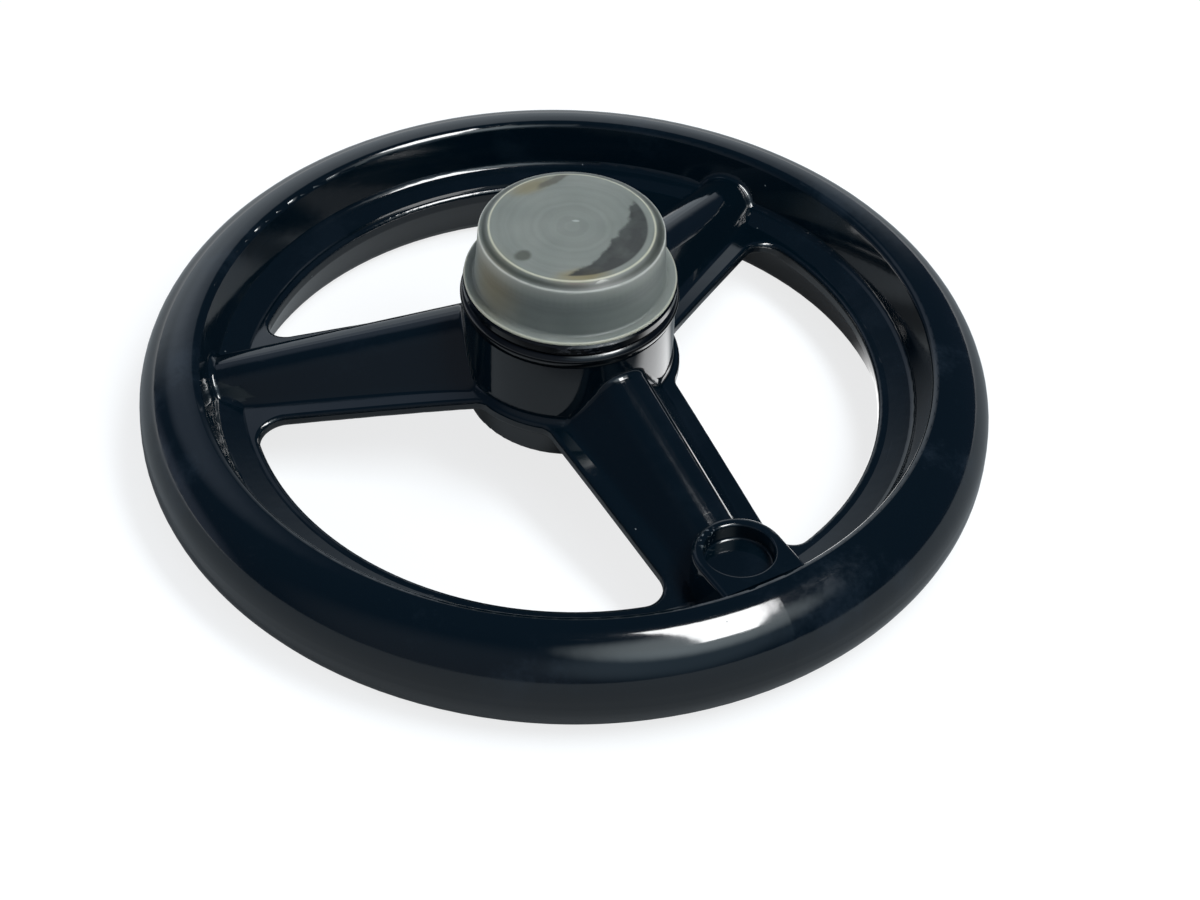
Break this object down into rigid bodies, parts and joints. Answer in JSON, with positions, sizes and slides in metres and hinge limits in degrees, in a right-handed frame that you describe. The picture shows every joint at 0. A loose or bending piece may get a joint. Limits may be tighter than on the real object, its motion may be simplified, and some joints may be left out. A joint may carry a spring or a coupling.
{
  "type": "machine handwheel",
  "caption": "Moulded black spoked handwheel with a grip rim, hollow ridged spokes, a blind handle boss, a steel hub bush and a translucent push-on hub cap.",
  "frame": {"origin": "centre of the plane that the rim stands on, on the wheel's axis", "axes": "+Z along the wheel's axis, from the shaft side to the capped end of the hub; the spoke with the handle boss points along -Y"},
  "size_m": [0.2, 0.2, 0.0643],
  "materials": {
    "phenolic": "glossy black thermoset moulding, lightly handled",
    "steel": "turned and bored free-cutting steel",
    "collar": "glossy black, scuffed on its top bevel",
    "cap": "milky translucent polyethylene with brown and grey stains"
  },
  "bodies": {
    "wheel": {"handwheel": "phenolic", "hub_bush": "steel", "hub_collar": "collar"},
    "cap": {"hub_cap": "cap"}
  },
  "joints": [
    {"name": "cap_pull", "type": "slide", "parent": "wheel", "child": "cap", "axis": [0, 0, 1], "range_m": [0, 0.02]}
  ]
}
